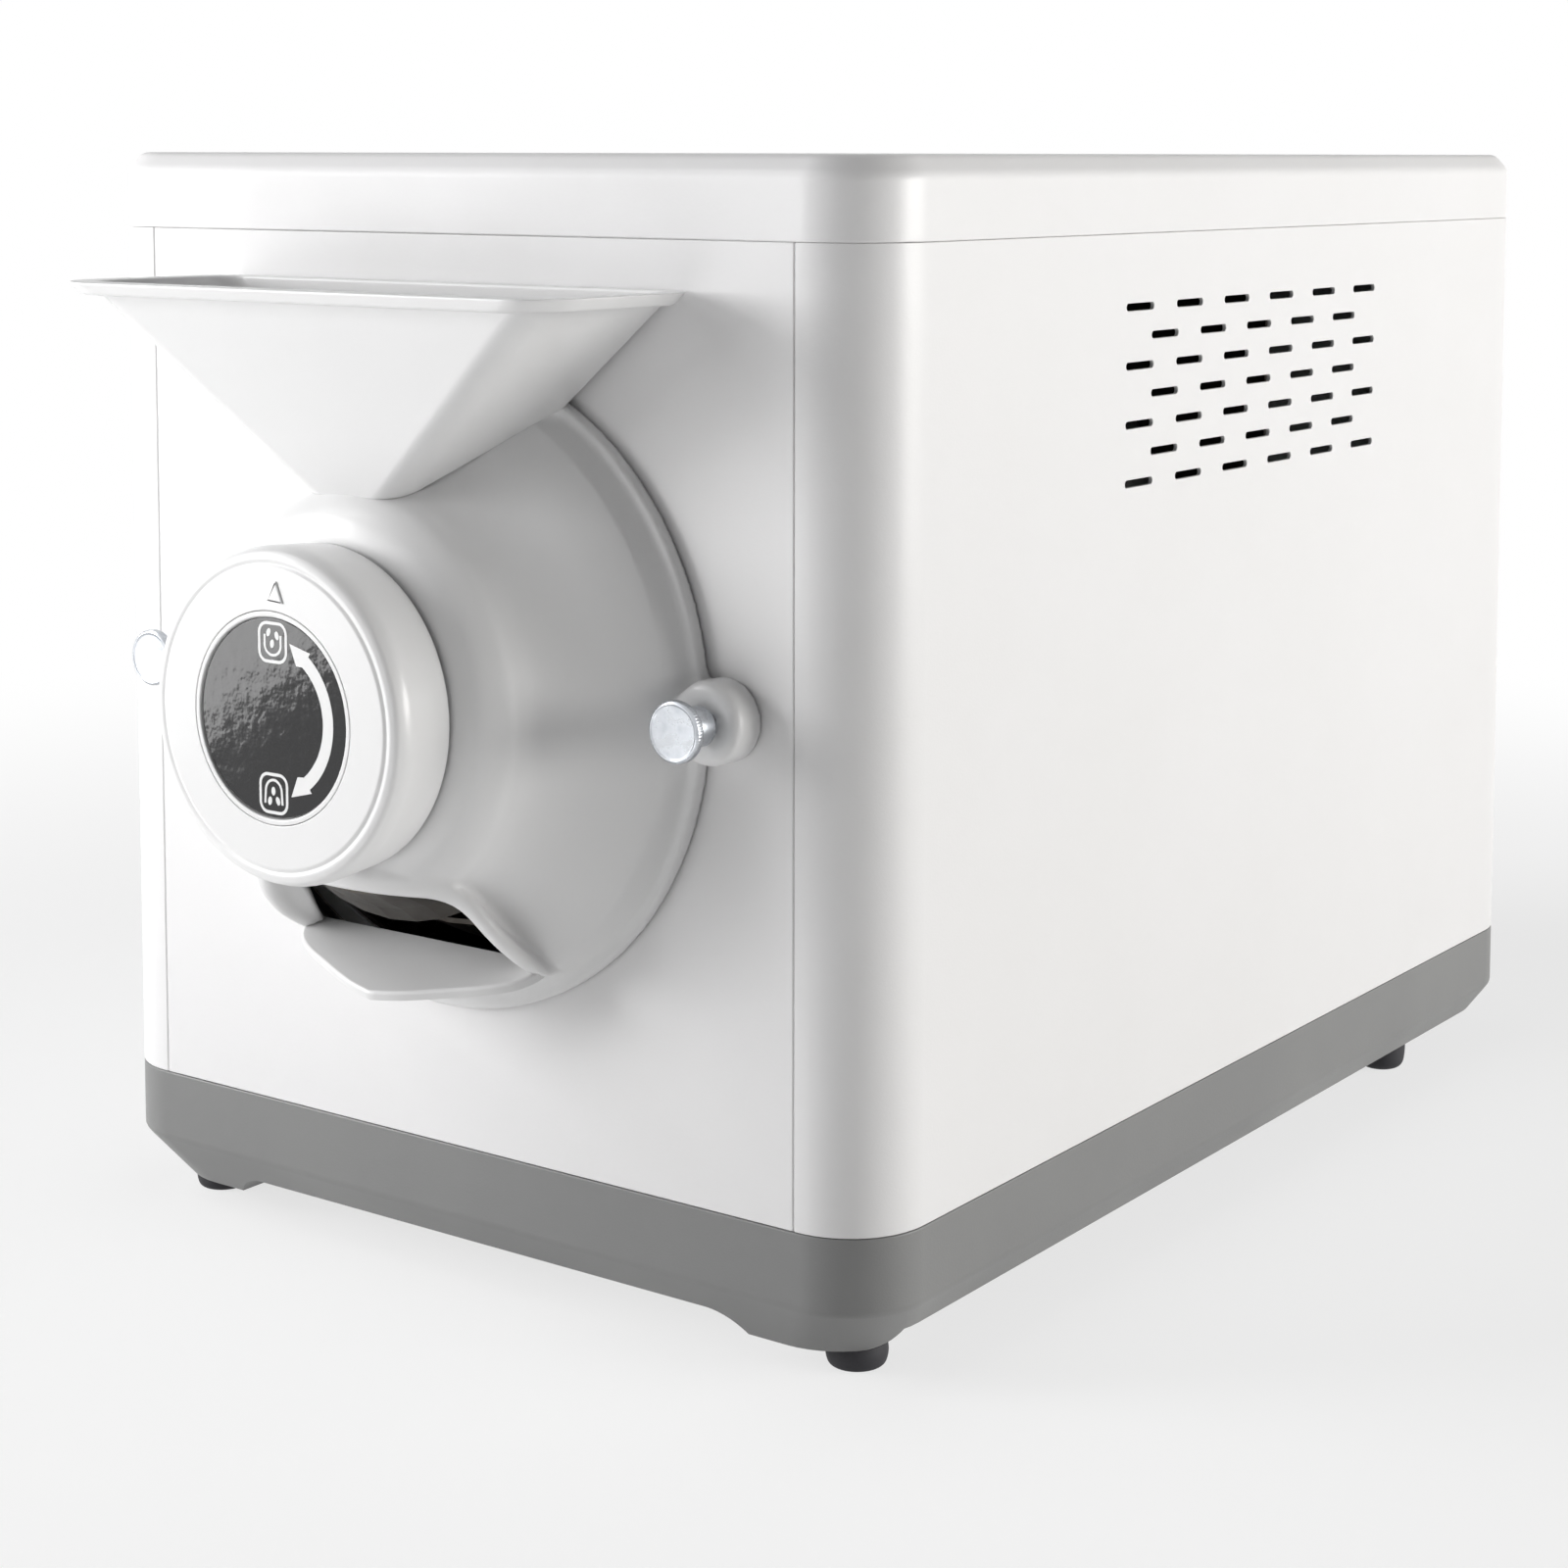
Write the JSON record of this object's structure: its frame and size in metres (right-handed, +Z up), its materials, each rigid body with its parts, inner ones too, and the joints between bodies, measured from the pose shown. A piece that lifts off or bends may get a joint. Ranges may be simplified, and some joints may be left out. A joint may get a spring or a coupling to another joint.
{
  "type": "home coffee bean roaster",
  "caption": "Boxy electric coffee roaster: turning drum behind a round front cover with funnel hopper, feed and discharge selector ring, outlet tongue and side vents.",
  "frame": {"origin": "middle of the bounding box, on the surface that the feet stand on", "axes": "+Z up, -Y towards the front with the cover and hopper, +X to the right as seen from the front"},
  "size_m": [0.244, 0.4268, 0.2752],
  "materials": {
    "shell_white": "fine satin white powder coat on sheet steel",
    "gloss_white": "glossy white, heat-proof",
    "base_grey": "matte grey moulding",
    "rubber_black": "matte black rubber",
    "zinc_steel": "bright zinc-plated steel",
    "drum_steel": "plain stainless and galvanised sheet",
    "aluminium": "bare aluminium",
    "bearing_brass": "plain bronze bush",
    "black_plastic": "black moulded plastic",
    "label_black": "dark glossy label",
    "board_green": "solder-masked board with its components",
    "seal_fibre": "woven heat-proof fibre"
  },
  "bodies": {
    "cabinet": {"side_shell_left": "shell_white", "side_shell_right": "shell_white", "front_panel": "shell_white", "rear_panel": "shell_white", "top_lid": "shell_white", "front_cover": "gloss_white", "hopper": "gloss_white", "outlet_tongue": "gloss_white", "label_hub": "gloss_white", "base_tray": "base_grey", "foot_front_left": "rubber_black", "foot_front_right": "rubber_black", "foot_rear_left": "rubber_black", "foot_rear_right": "rubber_black", "clinch_nut_left": "zinc_steel", "clinch_nut_right": "zinc_steel", "rear_screw_upper_left": "zinc_steel", "rear_screw_upper_right": "zinc_steel", "rear_screw_lower_left": "zinc_steel", "rear_screw_lower_right": "zinc_steel", "hub_screw": "zinc_steel", "gearbox": "zinc_steel", "thermostat_sensor": "zinc_steel", "thermal_cutout": "zinc_steel", "chassis_plate": "drum_steel", "bulkhead": "drum_steel", "heater_left": "drum_steel", "heater_right": "drum_steel", "roller_bracket": "drum_steel", "motor_bracket": "drum_steel", "heat_shield": "aluminium", "motor": "aluminium", "rear_bearing": "bearing_brass", "fan_frame": "black_plastic", "power_inlet": "black_plastic", "switch_housing": "black_plastic", "temperature_control": "black_plastic", "board_carrier": "black_plastic", "terminal_block": "black_plastic", "label_disc": "label_black", "control_board": "board_green", "cover_gasket": "seal_fibre"},
    "selector": {"selector_knob": "gloss_white", "selector_shutter": "drum_steel", "drive_pin": "zinc_steel"},
    "drum": {"drum_shell": "drum_steel", "drum_vane_1": "drum_steel", "drum_vane_2": "drum_steel", "drum_vane_3": "drum_steel", "drum_shaft": "zinc_steel", "shaft_coupling": "aluminium", "motor_shaft": "zinc_steel"},
    "roller_left": {"drum_roller_left": "zinc_steel"},
    "roller_right": {"drum_roller_right": "zinc_steel"},
    "thumbscrew_left": {"thumbscrew_left": "zinc_steel"},
    "thumbscrew_right": {"thumbscrew_right": "zinc_steel"},
    "fan": {"fan_rotor": "black_plastic"},
    "rocker": {"switch_rocker": "black_plastic"},
    "dial": {"temperature_dial": "black_plastic"}
  },
  "joints": [
    {"name": "selector_turn", "type": "hinge", "parent": "cabinet", "child": "selector", "pos_m": [0, -0.2039, 0.15], "axis": [0, 1, 0], "range_deg": [0, 180]},
    {"name": "drum_spin", "type": "hinge", "parent": "cabinet", "child": "drum", "pos_m": [0, -0.0539, 0.15], "axis": [0, 1, 0], "continuous": true},
    {"name": "roller_left_spin", "type": "hinge", "parent": "cabinet", "child": "roller_left", "pos_m": [-0.03765, -0.1289, 0.08479], "axis": [0, 1, 0], "continuous": true},
    {"name": "roller_right_spin", "type": "hinge", "parent": "cabinet", "child": "roller_right", "pos_m": [0.03765, -0.1289, 0.08479], "axis": [0, 1, 0], "continuous": true},
    {"name": "thumbscrew_left_turn", "type": "hinge", "parent": "cabinet", "child": "thumbscrew_left", "pos_m": [-0.0825, -0.1639, 0.15], "axis": [0, 1, 0], "continuous": true},
    {"name": "thumbscrew_right_turn", "type": "hinge", "parent": "cabinet", "child": "thumbscrew_right", "pos_m": [0.0825, -0.1639, 0.15], "axis": [0, 1, 0], "continuous": true},
    {"name": "fan_spin", "type": "hinge", "parent": "cabinet", "child": "fan", "pos_m": [-0.055, 0.1921, 0.205], "axis": [0, 1, 0], "continuous": true},
    {"name": "rocker_tilt", "type": "hinge", "parent": "cabinet", "child": "rocker", "pos_m": [0.03, 0.2032, 0.078], "axis": [0, 0, -1], "range_deg": [0, 14]},
    {"name": "dial_turn", "type": "hinge", "parent": "cabinet", "child": "dial", "pos_m": [0.07, 0.2071, 0.16], "axis": [0, -1, 0], "range_deg": [0, 270]}
  ],
  "couplings": [
    {"joint": "roller_left_spin", "follows": "drum_spin", "ratio": -7.3333},
    {"joint": "roller_right_spin", "follows": "drum_spin", "ratio": -7.3333}
  ]
}
